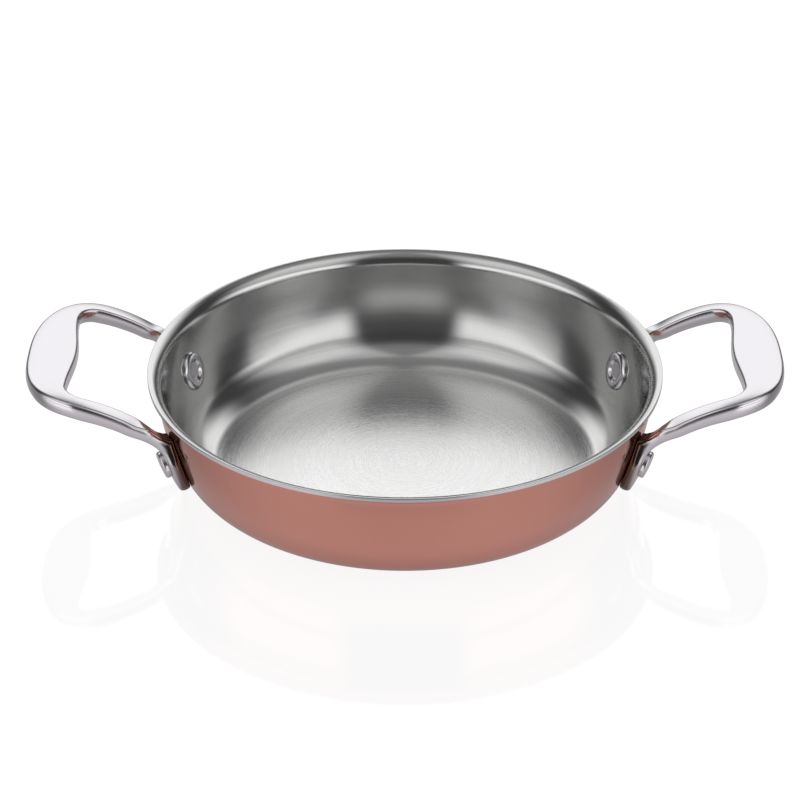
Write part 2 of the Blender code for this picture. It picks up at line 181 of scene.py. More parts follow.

# Finishes of the other metals. The painted shade on the handles reaches out from the wall.
COPPERS = ((0.585, 0.270, 0.212), (0.625, 0.295, 0.235))
COPPER_GRAIN_HEIGHT = 0.0000008
ALUMINIUM_GREY = (0.72, 0.73, 0.74)
ALUMINIUM_GRAIN_HEIGHT = 0.000004
HANDLE_GREY = (0.71, 0.69, 0.72)
HANDLE_WAVE_HEIGHT = 0.00003
RIVET_GREY = (0.67, 0.65, 0.68)
RIVET_WAVE_HEIGHT = 0.00001
HAZE_HEIGHT = 0.0000015
# Painted shade: dark brown for the handles near the wall behind the feet, standing in for the
# crevice's shadow and reflected copper
PAINTED_CREVICE_SHADE = (0.18, 0.14, 0.12)
PAINTED_SHADE_REACH = 0.0046
PAINTED_SHADE_FULL_SHARE = 0.55
AXIS_GUARD = 0.0005

# Table. Levels are shares of white. "Ahead" is 1 in front of the pan and 0 beside it.
TABLE_HALF_WIDTH = 8.0
TABLE_DROP = 0.00015
TABLE_SEEN_LEVEL = 0.90
SHADE_EDGE = (0.070, 0.100)
SHADE_LEVELS = (0.35, 1.0)
NEAR_AHEAD = (0.0, 0.95)
NEAR_LEVELS = (0.30, 0.58)
FAR_AHEAD = (0.05, 0.60, 0.86, 0.97)
FAR_LEVELS = (0.156, 0.60, 0.12)
FAR_EDGE = (0.12, 0.25)

# Studio, in degrees round from the front and above the table. A lamp begins between its
# first two angles and ends between its last two, and its levels are those before it,
# within it and after it.
ROOM_LEVEL = 0.06
PANEL_SIDES = (21.0, 32.0, 76.0, 104.0)
PANEL_HEIGHTS = (-1.0, 5.0, 15.0, 30.0)
PANEL_LEVELS = (0.0, 1.36, 0.3264)
UPPER_SIDES = (26.0, 45.0, 84.0, 112.0)
UPPER_HEIGHTS = (28.0, 38.0, 54.0, 76.0)
UPPER_LEVELS = (0.0, 0.40, 0.0)
SWEEP_SIDE = (122.0, 158.0)
SWEEP_HEIGHTS = (5.0, 24.0, 34.5, 47.0)
SWEEP_LEVELS = (0.0, 1.22, 0.0)
CEILING_HEIGHT = (40.0, 64.0)
CEILING_LEVEL = 0.22

# Camera, fitted to the photograph: distances in rim radii, the pitch in radians
CAMERA_BACK = 10.068
CAMERA_UP = 6.0317
CAMERA_PITCH = 0.51822
FOCAL_PIXELS = 2959.25
PICTURE_PIXELS = 800
CENTRE_PIXEL_X = 405.0
CENTRE_PIXEL_Y = 400.5
SENSOR_WIDTH = 36.0

# Sizes that follow
CORE_THICKNESS = SHEET_THICKNESS - COPPER_THICKNESS - LINER_THICKNESS
HEEL_CENTRE = (BASE_RADIUS, HEEL_RADIUS)
LIP_UNDERSIDE = PAN_HEIGHT - SHEET_THICKNESS / math.sin(LIP_ANGLE)
LIP_CENTRE = (
    RIM_RADIUS + LIP_BEND_RADIUS * math.cos(LIP_ANGLE),
    LIP_UNDERSIDE - LIP_BEND_RADIUS * math.sin(LIP_ANGLE),
)
RIVET_HEIGHT = PAN_HEIGHT - RIVET_DROP
LEG_OUTER_Y = LEG_INNER_Y + BAR_WIDTH
GRIP_INNER_X = GRIP_OUTER_X - GRIP_WIDTH
GRIP_MIDDLE_X = (GRIP_INNER_X + GRIP_OUTER_X) / 2.0
CORNER_X = GRIP_INNER_X + GRIP_BULGE - INNER_CORNER_RADIUS
CORNER_Y = LEG_INNER_Y - INNER_CORNER_RADIUS
BOW_X = RIM_RADIUS + LEG_BOW_REACH
HANDLE_TOP = PAN_HEIGHT + HANDLE_RISE
CREASE_RADIUS = RIM_RADIUS + CREASE_REACH
CREASE_HEIGHT = PAN_HEIGHT - CREASE_DROP
FOOT_AZIMUTH = math.asin(FOOT_OFFSET_Y / RIM_RADIUS)
CREASE_X = CREASE_RADIUS * math.cos(FOOT_AZIMUTH)
ARCH = (HANDLE_TOP - CREASE_HEIGHT) / (GRIP_MIDDLE_X - CREASE_X) ** 2


def wall_bend():
    """Centre of the wall's long arc, and the wall's lean from upright at its foot and its top.

    The arc is tangent to the heel inside it and to the lip bend outside it, so the three
    centres make a triangle of known sides.
    """
    across = LIP_CENTRE[0] - HEEL_CENTRE[0]
    up = LIP_CENTRE[1] - HEEL_CENTRE[1]
    apart = math.hypot(across, up)
    to_heel = WALL_BEND_RADIUS - HEEL_RADIUS
    to_lip = WALL_BEND_RADIUS + LIP_BEND_RADIUS
    corner = math.acos((apart ** 2 + to_heel ** 2 - to_lip ** 2) / (2.0 * apart * to_heel))
    foot_angle = math.pi - math.atan2(up, across) - corner
    centre = (
        HEEL_CENTRE[0] - to_heel * math.cos(foot_angle),
        HEEL_CENTRE[1] + to_heel * math.sin(foot_angle),
    )
    top_angle = math.atan2(centre[1] - LIP_CENTRE[1], LIP_CENTRE[0] - centre[0])
    return centre, foot_angle, top_angle


WALL_CENTRE, WALL_FOOT_ANGLE, WALL_TOP_ANGLE = wall_bend()
HEEL_TOP = HEEL_RADIUS * (1.0 - math.sin(WALL_FOOT_ANGLE))


def wall_radius(height):
    """Outside radius of the pan at a height: the heel's circle, then the wall's long arc."""
    rise = HEEL_RADIUS - np.clip(height, 0.0, HEEL_TOP)
    on_heel = BASE_RADIUS + np.sqrt(HEEL_RADIUS ** 2 - rise ** 2)
    fall = WALL_CENTRE[1] - height
    on_wall_arc = WALL_CENTRE[0] + np.sqrt(WALL_BEND_RADIUS ** 2 - fall ** 2)
    return np.where(height < HEEL_TOP, on_heel, on_wall_arc)


FLARE = math.asin((WALL_CENTRE[1] - RIVET_HEIGHT) / WALL_BEND_RADIUS)
RIVET_RADIUS = float(wall_radius(RIVET_HEIGHT))


def ease(share):
    """Smooth step from 0 to 1, 3s squared minus 2s cubed."""
    return share * share * (3.0 - 2.0 * share)


def between(first, last, share):
    """What lies at a share of the way from the first to the last, on a straight line."""
    first = np.asarray(first)
    return first + (np.asarray(last) - first) * share


def outline(radius, height):
    """Points (radius, height) of a profile; a single number holds for all of its points."""
    return np.stack(np.broadcast_arrays(radius, height), axis=-1)


def arc(centre, radius, start, end, count):
    """Points (centre r + radius cos a, centre z - radius sin a) for a from start to end."""
    angle = np.linspace(start, end, count)
    return outline(centre[0] + radius * np.cos(angle), centre[1] - radius * np.sin(angle))


def quadratic(start, corner, end, count):
    """Quadratic curve that leaves its start and meets its end in line with the corner."""
    share = np.linspace(0.0, 1.0, count)[:, None]
    back = 1.0 - share
    return back * back * start + 2.0 * back * share * corner + share * share * end


def full_turn(count):
    """Angles of a full turn in equal steps."""
    return np.arange(count) * (2.0 * np.pi / count)


def mesh_object(name, points, faces):
    """Smooth mesh piece from arrays of points and faces, riding on the pan."""
    mesh = bpy.data.meshes.new(name)
    mesh.from_pydata(points.reshape(-1, 3).tolist(), [], faces)
    mesh.shade_smooth()
    piece = bpy.data.objects.new(name, mesh)
    bpy.context.scene.collection.objects.link(piece)
    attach(piece, "root")
    return piece


def ring_faces(rings, around):
    """Quads between rings of points stored ring by ring: two neighbours on one ring and the
    same two on the next, with the last point of each ring beside its first."""
    ring = np.arange(rings - 1)[:, None] * around
    point = np.arange(around)[None, :]
    after = (point + 1) % around
    corners = (ring + around + point, ring + around + after, ring + after, ring + point)
    return np.stack(corners, axis=-1).reshape(-1, 4)


def turned(name, profile):
    """Surface of revolution (r cos t, r sin t, z) of a profile that starts and ends on the
    axis, where a fan of triangles closes it."""
    radius, height = profile[1:-1].T[:, :, None]
    turn = full_turn(PAN_TURNS)
    rings = np.stack(np.broadcast_arrays(
        radius * np.cos(turn), radius * np.sin(turn), height), axis=-1).reshape(-1, 3)
    poles = np.array([[0.0, 0.0, profile[0, 1]], [0.0, 0.0, profile[-1, 1]]])
    here = np.arange(PAN_TURNS)
    after = (here + 1) % PAN_TURNS
    first_pole = np.full(PAN_TURNS, len(rings))
    last_ring = len(rings) - PAN_TURNS
    faces = ring_faces(len(radius), PAN_TURNS).tolist()
    faces += np.stack([first_pole, here, after], axis=-1).tolist()
    faces += np.stack([first_pole + 1, last_ring + after, last_ring + here], axis=-1).tolist()
    return mesh_object(name, np.concatenate([rings, poles]), faces)


def capped_loft(name, rings, mirrored=False):
    """Closed surface through rings of points, with one face across each end. A mirrored
    shape has its faces turned over, so that they still point outward."""
    count, around = rings.shape[:2]
    end = np.arange(around)
    faces = ring_faces(count, around).tolist()
    faces.append(end.tolist())
    faces.append((count * around - 1 - end).tolist())
    if mirrored:
        faces = [face[::-1] for face in faces]
    return mesh_object(name, rings, faces)


def sheet_surface(depth):
    """Pan outline pushed into the sheet by depth: floor, heel arc, long wall arc, lip arc, edge.

    The lip bends the other way, so its radius is negative, and its points stop at the bevel.
    """
    floor = outline(np.linspace(0.0, BASE_RADIUS, FLOOR_STEPS, endpoint=False), depth)
    heel = arc(HEEL_CENTRE, HEEL_RADIUS - depth, math.pi / 2.0, WALL_FOOT_ANGLE, HEEL_POINTS)
    wall = arc(WALL_CENTRE, WALL_BEND_RADIUS - depth, WALL_FOOT_ANGLE, WALL_TOP_ANGLE, WALL_POINTS)
    lip = arc(LIP_CENTRE, -(LIP_BEND_RADIUS + depth), WALL_TOP_ANGLE, LIP_ANGLE, LIP_POINTS)
    lip = lip[lip[:, 0] < RIM_RADIUS - RIM_BEVEL[0]]
    edge = outline([RIM_RADIUS], LIP_UNDERSIDE + depth / math.sin(LIP_ANGLE))
    return np.concatenate([floor, heel, wall[1:-1], lip, edge])


def rounded_corner(before, corner, after, reach, count):
    """Blend at a corner, a quadratic curve that leaves and meets both edges at its reaches."""
    start = corner + (before - corner) * (reach[0] / np.linalg.norm(before - corner))
    end = corner + (after - corner) * (reach[1] / np.linalg.norm(after - corner))
    return quadratic(start, corner, end, count)


def ply(name, depth, thickness, upper_reach, lower_reach):
    """One bonded layer: its two offset surfaces, joined by the ground edge at the rim."""
    inside = sheet_surface(depth + thickness)
    outside = sheet_surface(depth)
    upper = rounded_corner(inside[-2], inside[-1], outside[-1], upper_reach, UPPER_CORNER_POINTS)
    lower = rounded_corner(inside[-1], outside[-1], outside[-2], lower_reach, LOWER_CORNER_POINTS)
    return turned(name, np.concatenate([inside[:-1], upper, lower, outside[-2::-1]]))


def on_wall(up, out, across):
    """Points from distances up the wall from the rivet, out of the wall and round it: the
    wall's own radius at that height plus the outward reach, turned by across / radius."""
    height = RIVET_HEIGHT + up * math.cos(FLARE)
    radius = wall_radius(height)
    azimuth = FOOT_AZIMUTH + across / radius
    reach = radius + out * math.cos(FLARE)
    z = height - out * math.sin(FLARE)
    return np.stack([reach * np.cos(azimuth), reach * np.sin(azimuth), z], axis=-1)


def wall_coordinates(reach, height):
    """Up-the-wall and out-of-the-wall distances of a point beside the rivet: on_wall turned
    round, by closing in on the height of the wall point that it stands on."""
    out = 0.0
    for _ in range(WALL_ROUNDS):
        wall_height = height + out * math.sin(FLARE)
        out = (reach - float(wall_radius(wall_height))) / math.cos(FLARE)
    return np.array([(wall_height - RIVET_HEIGHT) / math.cos(FLARE), out])


def section_outline(width, depth, top_radius, under_radius, side_roll):
    """Rounded bar as shares of its width and depth, once round from the middle of its top.

    Each side is three arcs that meet smoothly: the top edge, turning from straight up to
    the first roll angle above level; a long flank, on to the second angle below level, its
    radius taken from the depth that is left; and the lower edge, on to straight down. The
    arcs start where the flank's widest point comes to lie on the full width.
    """
    narrow = min(width, depth)
    top = min(top_radius, TOP_RADIUS_SHARE * narrow)
    under = min(under_radius, UNDER_RADIUS_SHARE * narrow)
    above, below = side_roll
    rounded = top * (1.0 - math.sin(above)) + under * (1.0 - math.sin(below))
    flank = (depth - rounded) / (math.sin(above) + math.sin(below))
    arcs = (
        (top, np.linspace(math.pi / 2.0, above, TOP_ARC_POINTS)),
        (flank, np.linspace(above, -below, FLANK_POINTS)),
        (under, np.linspace(-below, -math.pi / 2.0, UNDER_ARC_POINTS)),
    )
    start = np.array([width - top * math.cos(above) - flank * (1.0 - math.cos(above)), 0.0])
    side = [start[None]]
    for radius, turn in arcs:
        circle = radius * np.stack([np.cos(turn), -np.sin(turn)], axis=-1)
        side.append((side[-1][-1] + circle - circle[0])[1:])
    side = np.concatenate(side)
    flat = np.linspace(0.0, 1.0, FLAT_STEPS, endpoint=False)[:, None]
    middle_top = np.array([width / 2.0, 0.0])
    middle_under = np.array([width / 2.0, depth])
    half = np.concatenate([
        between(middle_top, side[0], flat),
        side,
        between(side[-1], middle_under, flat[1:]),
        middle_under[None],
    ])
    other_half = half[-2:0:-1] * [-1.0, 1.0] + [width, 0.0]
    return np.concatenate([half, other_half]) / [width, depth]


def foot_section(inner, outer, width, back_radius, edge_radius, side_roll):
    """Ring across the foot, from its wall side (inner) to its outer side, wrapped on the wall."""
    depth = math.dist(inner, outer)
    across, down = section_outline(width, depth, back_radius, edge_radius, side_roll).T
    up = between(inner[0], outer[0], down)
    out = between(inner[1], outer[1], down)
    return on_wall(up, out, width * (across - 0.5))


def tongue_sections():
    """Rounded lower end of the foot: sections along a half circle, which are as wide as the
    sine of their turn and whose outer side rolls over by the square of 1 minus that sine."""
    half = FOOT_WIDTH / 2.0
    round_centre = half - FOOT_BELOW_RIVET
    rings = []
    for turn in TONGUE_TURNS:
        up = round_centre - half * math.cos(turn)
        roll = FOOT_EDGE_RADIUS * (1.0 - math.sin(turn)) ** 2
        inner = (up, FOOT_CLEARANCE + TONGUE_BACK_ROLL * roll)
        outer = (up, FOOT_THICKNESS - roll)
        width = FOOT_WIDTH * math.sin(turn)
        rings.append(foot_section(
            inner, outer, width, FOOT_BACK_RADIUS, FOOT_EDGE_RADIUS, FOOT_SIDE_ROLL))
    return rings


def foot_back(shares):
    """Wall side of the foot at shares of its length: straight lines up the wall, over the
    nose and across the saddle to the crease."""
    crease = wall_coordinates(CREASE_RADIUS, CREASE_HEIGHT)
    nose_up = FOOT_ABOVE_RIVET + NOSE_RISE
    saddle_share = (SADDLE_REACH - NOSE_REACH) / (crease[1] - NOSE_REACH)
    saddle_up = between(nose_up, crease[0], saddle_share) - SADDLE_DIP
    up = np.array([NECK_ABOVE_RIVET, FOOT_ABOVE_RIVET, nose_up, saddle_up, crease[0]])
    out = np.array([FOOT_CLEARANCE, FOOT_CLEARANCE, NOSE_REACH, SADDLE_REACH, crease[1]])
    travel = np.concatenate([[0.0], np.cumsum(np.hypot(np.diff(up), np.diff(out)))])
    where = shares * travel[-1]
    return np.stack([np.interp(where, travel, up), np.interp(where, travel, out)], axis=-1)


def turn_sections():
    """Foot from the neck to the crease: its outer side follows a quadratic curve, while its
    width eases and its edges and flanks pass evenly from the foot's to the bar's."""
    slope = arch_slope(CREASE_X)
    under_reach = CREASE_RADIUS + LEG_DEPTH * math.sin(slope)
    under = wall_coordinates(under_reach, CREASE_HEIGHT - LEG_DEPTH * math.cos(slope))
    neck = np.array([NECK_ABOVE_RIVET, FOOT_THICKNESS])
    bend = np.array([between(neck[0], under[0], HOLLOW_FULLNESS), FOOT_THICKNESS])
    shares = np.linspace(0.0, 1.0, TURN_SECTIONS)
    inner_side = foot_back(shares)
    outer_side = quadratic(neck, bend, under, TURN_SECTIONS)
    rings = []
    for share, inner, outer in zip(shares, inner_side, outer_side):
        width = between(FOOT_WIDTH, CREASE_WIDTH, ease(share ** SHOULDER_POWER))
        back_radius = between(FOOT_BACK_RADIUS, BAR_TOP_RADIUS, share)
        edge_radius = between(FOOT_EDGE_RADIUS, BAR_UNDER_RADIUS, share)
        side_roll = between(FOOT_SIDE_ROLL, BAR_SIDE_ROLL, share)
        rings.append(foot_section(inner, outer, width, back_radius, edge_radius, side_roll))
    return rings


def arch_height(x):
    """Top of the handle at x: a parabola that crests at the middle of the grip."""
    return HANDLE_TOP - ARCH * (GRIP_MIDDLE_X - x) ** 2


def arch_slope(x):
    """Angle of the arch from level at x, whose tangent is the parabola's slope."""
    return math.atan(2.0 * ARCH * (GRIP_MIDDLE_X - x))


def bar_section(inner, outer, tilt, depth):
    """Ring across the bar between its inner and outer top edges, hung square to the arch.
    The top is crowned: it falls by the square of the distance from its middle."""
    width = math.dist(inner, outer)
    across, down = section_outline(width, depth, BAR_TOP_RADIUS, BAR_UNDER_RADIUS, BAR_SIDE_ROLL).T
    x = between(inner[0], outer[0], across)
    y = between(inner[1], outer[1], across)
    crown_fall = TOP_CROWN * (2.0 * across - 1.0) ** 2 * (1.0 - down)
    z = arch_height(x) - OUTER_EDGE_DROP * across - crown_fall
    fall = down * depth
    return np.stack([x + fall * math.sin(tilt), y, z - fall * math.cos(tilt)], axis=-1)


def superellipse(share):
    """Other coordinate on a superellipse of reach 1: 1 minus the share to a power, and all
    of that to 1 over the power."""
    return (1.0 - share ** OUTER_CORNER_POWER) ** (1.0 / OUTER_CORNER_POWER)


def outer_edge_y(x):
    """Outer edge of a leg at x: bowed in at the crease, then the superellipse."""
    if x > BOW_X:
        return LEG_OUTER_Y * superellipse((x - BOW_X) / (GRIP_OUTER_X - BOW_X))
    return LEG_OUTER_Y - LEG_BOW * ((BOW_X - x) / (BOW_X - CREASE_X)) ** 2


def outer_edge_x(y):
    """Outer edge of the grip at y, on the same superellipse."""
    return between(BOW_X, GRIP_OUTER_X, superellipse(y / LEG_OUTER_Y))


def outer_corner(angle):
    """Where a ray from the inner corner's centre meets the superellipse, found by halving."""
    near = 0.0
    far = GRIP_OUTER_X
    for _ in range(HALVINGS):
        reach = (near + far) / 2.0
        along = max(0.0, CORNER_X + reach * math.cos(angle) - BOW_X) / (GRIP_OUTER_X - BOW_X)
        beside = (CORNER_Y + reach * math.sin(angle)) / LEG_OUTER_Y
        inside = along ** OUTER_CORNER_POWER + beside ** OUTER_CORNER_POWER < 1.0
        near, far = (reach, far) if inside else (near, reach)
    return CORNER_X + near * math.cos(angle), CORNER_Y + near * math.sin(angle)


def leg_sections():
    """Leg from behind the crease to the corner, cut square to X."""
    rings = []
    for share in np.linspace(0.0, 1.0, LEG_SECTIONS + 2)[1:-1]:
        x = between(CREASE_X, CORNER_X, share)
        depth = between(LEG_DEPTH, GRIP_DEPTH, share)
        rings.append(bar_section((x, LEG_INNER_Y), (x, outer_edge_y(x)), arch_slope(x), depth))
    return rings


def corner_sections():
    """Corner, where the sections fan about the centre of the inner bend."""
    rings = []
    for angle in np.linspace(math.pi / 2.0, 0.0, CORNER_SECTIONS):
        inner_x = CORNER_X + INNER_CORNER_RADIUS * math.cos(angle)
        inner_y = CORNER_Y + INNER_CORNER_RADIUS * math.sin(angle)
        tilt = arch_slope(CORNER_X) * math.sin(angle)
        rings.append(bar_section((inner_x, inner_y), outer_corner(angle), tilt, GRIP_DEPTH))
    return rings


def grip_sections():
    """Grip from the corner to the middle. Its inner edge swells towards the pan: it stands
    back at the corner, by the square of the sine of a quarter turn along the grip."""
    rings = []
    for y in np.linspace(CORNER_Y, 0.0, GRIP_SECTIONS + 1)[1:]:
        bulge = GRIP_BULGE * math.sin(math.pi / 2.0 * y / CORNER_Y) ** 2
        rings.append(bar_section((GRIP_INNER_X + bulge, y), (outer_edge_x(y), y), 0.0, GRIP_DEPTH))
    return rings


def smooth_rings(rings):
    """Cubic curves through the rings, point by point: each span is a Hermite curve whose
    end slopes are those of the parabola through three rings, spaced by their distance."""
    rings = np.asarray(rings)
    gaps = np.linalg.norm(np.diff(rings, axis=0), axis=2).mean(axis=1)
    slope = np.diff(rings, axis=0) / gaps[:, None, None]
    weight = (gaps[:-1] / (gaps[:-1] + gaps[1:]))[:, None, None]
    middle = slope[:-1] * (1.0 - weight) + slope[1:] * weight
    tangents = np.concatenate([slope[:1], middle, slope[-1:]])
    share = (np.arange(SPAN_STEPS) / SPAN_STEPS)[None, :, None, None]
    start = rings[:-1, None]
    end = rings[1:, None]
    leaving = tangents[:-1, None] * gaps[:, None, None, None]
    arriving = tangents[1:, None] * gaps[:, None, None, None]
    curve = (
        start * (1.0 + 2.0 * share) * (1.0 - share) ** 2 + leaving * share * (1.0 - share) ** 2
        + end * share ** 2 * (3.0 - 2.0 * share) - arriving * share ** 2 * (1.0 - share))
    return np.concatenate([curve.reshape(-1, *rings.shape[1:]), rings[-1:]])


def handle(name, side):
    """One handle: the half loft through its rings and its mirror image across Y, turned half
    round the pan for the left side."""
    half = smooth_rings(
        tongue_sections() + turn_sections() + leg_sections() + corner_sections() + grip_sections())
    whole = np.concatenate([half, half[-2::-1] * [1.0, -1.0, 1.0]])
    return capped_loft(name, whole * [side, side, 1.0])


def inner_head():
    """Profile of the head inside the pan, from its middle: a flat dish floor, a slope that
    eases up to the dish's rim, a quarter ellipse from the crest down, and a short seat."""
    radius = INNER_HEAD_RADIUS
    top = -(SHEET_THICKNESS + INNER_HEAD_HEIGHT)
    floor = outline(DISH_FLOOR_RINGS * radius, top + INNER_DISH_DEPTH)
    share = np.linspace(0.0, 1.0, DISH_POINTS)
    slope = outline(
        between(DISH_FLOOR_SHARE, DISH_RIM_SHARE, share) * radius,
        top + INNER_DISH_DEPTH * (1.0 - ease(share)))
    quarter = np.linspace(0.0, math.pi / 2.0, HEAD_ARC_POINTS)
    seat = -(SHEET_THICKNESS + INNER_SEAT_HEIGHT)
    shoulder = outline(
        between(CREST_SHARE * radius, radius, np.sin(quarter)),
        between(seat, top, np.cos(quarter)))
    foot = outline(
        radius - np.array(INNER_SEAT_INSETS),
        [-(SHEET_THICKNESS + 0.5 * INNER_SEAT_HEIGHT), -SHEET_THICKNESS])
    return np.concatenate([floor, slope, shoulder, foot])


def outer_head():
    """Profile of the button outside the foot, from its seat: an upright side, a quarter circle,
    and a crown that rises towards the middle by 1 minus the square of the radius share."""
    radius = OUTER_HEAD_RADIUS
    face = FOOT_THICKNESS + OUTER_HEAD_HEIGHT
    seat = outline(
        [radius - OUTER_SEAT_INSET, radius],
        [FOOT_THICKNESS - HEAD_PRESS, FOOT_THICKNESS + HEAD_PRESS])
    side = outline(radius, FOOT_THICKNESS + BUTTON_SIDE_RINGS)
    quarter = np.linspace(0.0, math.pi / 2.0, HEAD_ARC_POINTS)
    edge = outline(
        radius - OUTER_HEAD_EDGE * (1.0 - np.cos(quarter)),
        face - OUTER_HEAD_EDGE * (1.0 - np.sin(quarter)))
    crown = outline(
        BUTTON_TOP_RINGS * radius, face + OUTER_HEAD_CROWN * (1.0 - BUTTON_TOP_RINGS ** 2))
    return np.concatenate([seat, side, edge, crown])


def rivet(name, side_x, side_y):
    """Rivet through wall and foot: its profile of radii and distances out of the wall, turned
    about its axis and wrapped on the wall like the foot, in the quarter of the two signs."""
    shank = outline(SHANK_RADIUS, [HEAD_PRESS - SHEET_THICKNESS, FOOT_THICKNESS - HEAD_PRESS])
    radius, out = np.concatenate([inner_head(), shank, outer_head()]).T[:, :, None]
    turn = full_turn(AROUND_RIVET)
    points = on_wall(radius * np.cos(turn), out, radius * np.sin(turn))
    return capped_loft(name, points * [side_x, side_y, 1.0], side_x * side_y < 0.0)


class Nodes:
    """Short calls for the nodes of one tree."""

    def __init__(self, tree):
        self.tree = tree

    def add(self, kind, **settings):
        """New node of a kind, with its settings."""
        node = self.tree.nodes.new(kind)
        for key, value in settings.items():
            setattr(node, key, value)
        return node

    def join(self, value, socket):
        """Link an output to a socket, or set the socket to a constant; a colour is opaque."""
        if isinstance(value, bpy.types.NodeSocket):
            self.tree.links.new(value, socket)
        elif socket.type == "RGBA":
            socket.default_value = (*value, 1.0)
        else:
            socket.default_value = value

    def feed(self, node, *values):
        """Join values to the inputs of a node in their order, and give its first output."""
        for value, socket in zip(values, node.inputs):
            self.join(value, socket)
        return node.outputs[0]

    def math(self, operation, *values):
        """Output of a math node."""
        return self.feed(self.add("ShaderNodeMath", operation=operation), *values)

    def sum(self, first, *others):
        """Sum of values."""
        for other in others:
            first = self.math("ADD", first, other)
        return first

    def product(self, first, *others):
        """Product of values."""
        for other in others:
            first = self.math("MULTIPLY", first, other)
        return first

    def split(self, vector):
        """The three parts of a vector."""
        node = self.add("ShaderNodeSeparateXYZ")
        self.join(vector, node.inputs[0])
        return node.outputs

    def vector(self, x, y, z):
        """Vector of three values."""
        return self.feed(self.add("ShaderNodeCombineXYZ"), x, y, z)

    def fit(self, value, edge, levels):
        """Smooth step of a value: from the first level to the second across the edge."""
        node = self.add("ShaderNodeMapRange", interpolation_type="SMOOTHSTEP")
        return self.feed(node, value, *edge, *levels)

    def window(self, value, edges, levels=(0.0, 1.0, 0.0)):
        """Levels before, within and after a stretch of a value, which begins between its
        first two edges and ends between its last two: the product of two smooth steps."""
        before, within, after = levels
        rise = self.fit(value, edges[:2], (before / within, 1.0))
        fall = self.fit(value, edges[2:], (within, after))
        return self.product(rise, fall)

    def blend(self, share, first, second):
        """Colour or direction between two others."""
        node = self.add("ShaderNodeMix", data_type="RGBA")
        self.join(share, node.inputs["Factor"])
        self.join(first, node.inputs["A"])
        self.join(second, node.inputs["B"])
        return node.outputs["Result"]


class Finish(Nodes):
    """A material under construction: its shader, and the place on the piece as a vector, as
    x, y and z, and as the distance from the Z axis, which is kept above 0 to divide by."""

    def __init__(self, name):
        self.material = bpy.data.materials.new(name)
        self.material.use_nodes = True
        super().__init__(self.material.node_tree)
        self.shader = self.tree.nodes["Principled BSDF"]
        self.place = self.add("ShaderNodeTexCoord").outputs["Object"]
        self.x, self.y, self.z = self.split(self.place)
        squares = self.sum(self.product(self.x, self.x), self.product(self.y, self.y))
        self.radius = self.math("MAXIMUM", self.math("POWER", squares, 0.5), AXIS_GUARD)

    def set(self, **values):
        """Inputs of the shader by name, with _ for a space."""
        for key, value in values.items():
            self.join(value, self.shader.inputs[key.replace("_", " ")])

    def noise(self, vector, scale=1.0, detail=2.0, roughness=0.5):
        """Noise of a vector, as a factor about one half."""
        node = self.add("ShaderNodeTexNoise")
        self.join(vector, node.inputs["Vector"])
        node.inputs["Scale"].default_value = scale
        node.inputs["Detail"].default_value = detail
        node.inputs["Roughness"].default_value = roughness
        return node.outputs["Fac"]

    def bump(self, height, distance, normal=None):
        """Bump from a height, on top of another normal if there is one."""
        node = self.add("ShaderNodeBump")
        node.inputs["Distance"].default_value = distance
        self.join(height, node.inputs["Height"])
        if normal is not None:
            self.join(normal, node.inputs["Normal"])
        return node.outputs[0]

    def turned_grain(self, along, around_scale, along_scale):
        """Vector for noise drawn out into rings: the direction round the axis, little
        scaled, and the distance along the outline, much scaled."""
        round_x = self.product(self.math("DIVIDE", self.x, self.radius), around_scale)
        round_y = self.product(self.math("DIVIDE", self.y, self.radius), around_scale)
        return self.vector(round_x, round_y, self.product(along, along_scale))

    def grain_direction(self, strewn):
        """Direction round the Z axis, the axis crossed with the place; where strewn is 1 the
        grain lies in every direction instead, as random sanding leaves it."""
        cross = self.add("ShaderNodeVectorMath", operation="CROSS_PRODUCT")
        straight = self.add("ShaderNodeVectorMath", operation="NORMALIZE")
        round_axis = self.feed(straight, self.feed(cross, (0.0, 0.0, 1.0), self.place))
        strew = self.add("ShaderNodeTexWhiteNoise", noise_dimensions="3D")
        self.join(self.place, strew.inputs["Vector"])
        turn = self.product(strew.outputs["Value"], 2.0 * math.pi)
        any_way = self.vector(self.math("COSINE", turn), self.math("SINE", turn), 0.0)
        return self.blend(strewn, round_axis, any_way)


def brushed_steel():
    """Liner: fine turned grain on the wall and heel; a painted highlight, a lighter band of colour
    round the disc on the heel that stands in for the heel's bright reflection; and on the disc
    coarser rings whose grain also lies in every direction, in greys painted lighter than the
    wall's to stand in for the brighter light on the disc."""
    steel = Finish("brushed_steel")
    along = steel.sum(steel.radius, steel.z)
    fine = steel.noise(steel.turned_grain(along, around_scale=0.55, along_scale=2600.0))
    rings = steel.turned_grain(along, around_scale=0.35, along_scale=1100.0)
    coarse = steel.noise(rings, detail=3.0, roughness=0.6)
    on_disc = steel.fit(steel.radius, DISC_EDGE, (1.0, 0.0))
    painted_heel_highlight = steel.window(steel.radius, DISC_EDGE + HEEL_HIGHLIGHT_EDGE)
    coarse_share = steel.fit(on_disc, (0.0, 1.0), COARSE_SHARES)
    lines = steel.sum(steel.product(fine, FINE_SHARE), steel.product(coarse, coarse_share))
    depth_share = steel.fit(on_disc, (0.0, 1.0), GRAIN_DEPTHS)
    roughness = steel.fit(on_disc, (0.0, 1.0), LINER_ROUGHNESS)
    streak = steel.product(steel.math("SUBTRACT", coarse, 0.5), STREAK_ROUGHNESS)
    shade = steel.fit(coarse, (0.3, 0.7), (0.0, 1.0))
    # Wall grey, with the painted highlight band on the heel
    wall = steel.blend(painted_heel_highlight, steel.blend(shade, *WALL_GREYS), PAINTED_HIGHLIGHT_GREY)
    # The disc takes its painted lighter greys
    steel.set(
        Base_Color=steel.blend(on_disc, wall, steel.blend(shade, *PAINTED_BRIGHT_DISC_GREYS)),
        Roughness=steel.sum(roughness, streak),
        Metallic=1.0,
        Anisotropic=0.78,
        Anisotropic_Rotation=0.25,
        Normal=steel.bump(steel.product(lines, depth_share), LINER_GRAIN_HEIGHT),
        Tangent=steel.grain_direction(on_disc),
    )
    return steel.material


